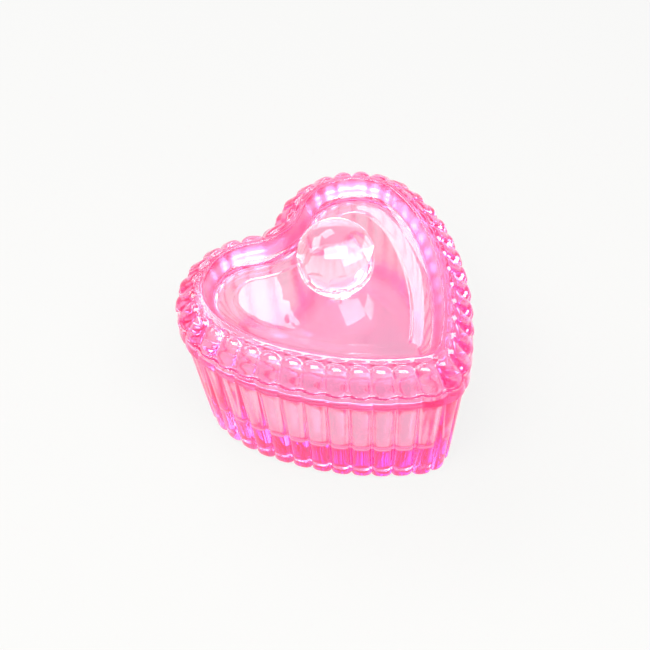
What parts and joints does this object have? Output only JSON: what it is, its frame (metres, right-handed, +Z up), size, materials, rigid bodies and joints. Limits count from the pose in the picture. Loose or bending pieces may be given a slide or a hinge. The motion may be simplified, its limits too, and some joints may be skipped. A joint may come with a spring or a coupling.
{
  "type": "heart-shaped trinket box",
  "caption": "Heart-shaped pressed-glass trinket box with reeded walls, a beaded lift-off lid with a sunken top, and a faceted clear ball knob.",
  "frame": {"origin": "middle of the box's footprint, on the face it stands on", "axes": "+Z up, the heart's tip towards -Y, its two lobes towards +Y"},
  "size_m": [0.0928, 0.0921, 0.0781],
  "materials": {
    "pink_glass": "fire-polished, clear",
    "clear_glass": "polished facets",
    "aged_cement": "clear, slightly yellowed"
  },
  "bodies": {
    "box": {"glass_box": "pink_glass"},
    "lid": {"glass_lid": "pink_glass", "crystal_knob": "clear_glass", "knob_cement": "aged_cement"}
  },
  "joints": [
    {"name": "lid_lift", "type": "slide", "parent": "box", "child": "lid", "axis": [0, 0, 1], "range_m": [0, 0.06]}
  ]
}
